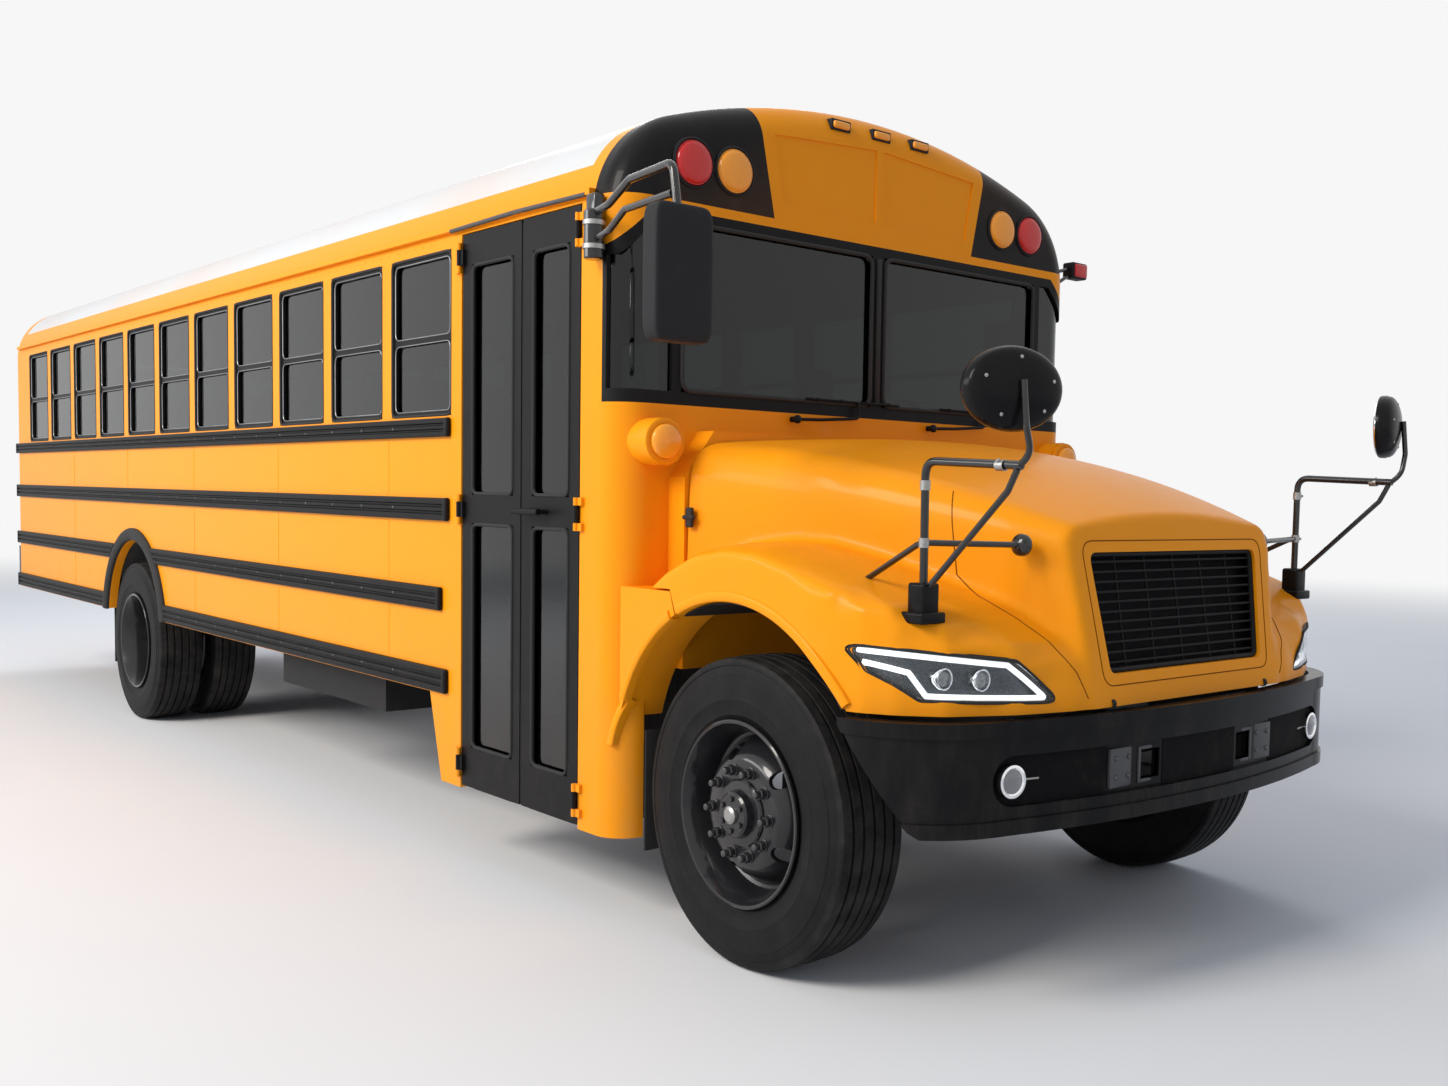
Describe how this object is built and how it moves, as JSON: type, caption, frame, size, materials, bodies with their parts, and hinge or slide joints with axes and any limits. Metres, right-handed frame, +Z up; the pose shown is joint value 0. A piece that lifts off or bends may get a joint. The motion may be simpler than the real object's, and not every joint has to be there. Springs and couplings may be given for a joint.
{
  "type": "school bus",
  "caption": "Conventional school bus with tilting bonnet, two-leaf entrance door, rear emergency door, stop arm, steered front wheels and twin rear wheels.",
  "frame": {"origin": "on the ground under the middle of the whole bus", "axes": "+X forward, +Y to the left side, +Z up"},
  "size_m": [10.7851, 2.971, 3.095],
  "materials": {
    "yellow_paint": "gloss",
    "white_paint": "gloss",
    "black_paint": "gloss",
    "red_paint": "satin",
    "wheel_black": "satin",
    "tinted_glass": "gloss",
    "lamp_lens": "gloss",
    "floor_grey": "matt",
    "seat_vinyl": "satin",
    "black_plastic": "satin",
    "engine_grey": "matt",
    "spring_steel": "matt",
    "bare_steel": "satin",
    "black_rubber": "matt",
    "tyre_rubber": "matt",
    "amber_lens": "gloss",
    "red_lens": "gloss"
  },
  "bodies": {
    "bus": {"roof": "white_paint", "roof_cap": "yellow_paint", "side_wall_right": "yellow_paint", "side_wall_left": "yellow_paint", "rear_wall": "yellow_paint", "cowl": "yellow_paint", "window_frames": "black_paint", "body_glass": "tinted_glass", "rub_rails": "black_paint", "floor": "floor_grey", "seats": "seat_vinyl", "dashboard": "black_plastic", "chassis_frame": "black_paint", "engine_block": "engine_grey", "front_bumper": "black_paint", "rear_bumper": "black_paint", "front_axle": "black_paint", "rear_axle": "black_paint", "leaf_springs": "spring_steel", "fuel_tank": "black_paint", "exhaust": "bare_steel", "arch_rubbers": "black_rubber", "rear_view_mirrors": "black_plastic", "amber_lamps": "amber_lens", "red_lamps": "red_lens", "wipers": "black_plastic"},
    "bonnet": {"bonnet": "yellow_paint", "grille": "black_plastic", "headlamps": "lamp_lens", "crossover_mirrors": "black_plastic"},
    "door_front": {"door_leaf_front": "black_paint", "door_glass_front": "tinted_glass"},
    "door_rear": {"door_leaf_rear": "black_paint", "door_glass_rear": "tinted_glass"},
    "emergency_door": {"rear_door": "yellow_paint", "rear_door_glass": "tinted_glass"},
    "stop_arm": {"stop_arm": "red_paint"},
    "steering_left": {"knuckle_left": "black_paint"},
    "steering_right": {"knuckle_right": "black_paint"},
    "front_wheel_left": {"front_tyre_left": "tyre_rubber", "front_rim_left": "wheel_black"},
    "front_wheel_right": {"front_tyre_right": "tyre_rubber", "front_rim_right": "wheel_black"},
    "rear_wheels_left": {"rear_tyres_left": "tyre_rubber", "rear_rims_left": "wheel_black"},
    "rear_wheels_right": {"rear_tyres_right": "tyre_rubber", "rear_rims_right": "wheel_black"}
  },
  "joints": [
    {"name": "bonnet_tilt", "type": "hinge", "parent": "bus", "child": "bonnet", "pos_m": [5.215, 0, 0.926], "axis": [0, 1, 0], "range_deg": [0, 70]},
    {"name": "door_front_swing", "type": "hinge", "parent": "bus", "child": "door_front", "pos_m": [3.42, -1.233, 1.46], "axis": [0, 0, 1], "range_deg": [0, 90]},
    {"name": "door_rear_swing", "type": "hinge", "parent": "bus", "child": "door_rear", "pos_m": [2.514, -1.233, 1.46], "axis": [0, 0, -1], "range_deg": [0, 90]},
    {"name": "emergency_door_swing", "type": "hinge", "parent": "bus", "child": "emergency_door", "pos_m": [-5.318, -0.475, 1.96], "axis": [0, 0, 1], "range_deg": [0, 110]},
    {"name": "stop_arm_swing", "type": "hinge", "parent": "bus", "child": "stop_arm", "pos_m": [3.29, 1.254, 1.6], "axis": [0, 0, -1], "range_deg": [0, 90]},
    {"name": "steer_left", "type": "hinge", "parent": "bus", "child": "steering_left", "pos_m": [4.27, 0.85, 0.511], "axis": [0, 0, 1], "range_deg": [-35, 35]},
    {"name": "steer_right", "type": "hinge", "parent": "bus", "child": "steering_right", "pos_m": [4.27, -0.85, 0.511], "axis": [0, 0, 1], "range_deg": [-35, 35]},
    {"name": "front_wheel_left_spin", "type": "hinge", "parent": "steering_left", "child": "front_wheel_left", "pos_m": [4.27, 1.007, 0.511], "axis": [0, 1, 0], "continuous": true},
    {"name": "front_wheel_right_spin", "type": "hinge", "parent": "steering_right", "child": "front_wheel_right", "pos_m": [4.27, -1.007, 0.511], "axis": [0, 1, 0], "continuous": true},
    {"name": "rear_wheels_left_spin", "type": "hinge", "parent": "bus", "child": "rear_wheels_left", "pos_m": [-2.05, 0.918, 0.511], "axis": [0, 1, 0], "continuous": true},
    {"name": "rear_wheels_right_spin", "type": "hinge", "parent": "bus", "child": "rear_wheels_right", "pos_m": [-2.05, -0.918, 0.511], "axis": [0, 1, 0], "continuous": true}
  ],
  "couplings": [
    {"joint": "door_rear_swing", "follows": "door_front_swing", "ratio": 1},
    {"joint": "steer_right", "follows": "steer_left", "ratio": 1}
  ]
}
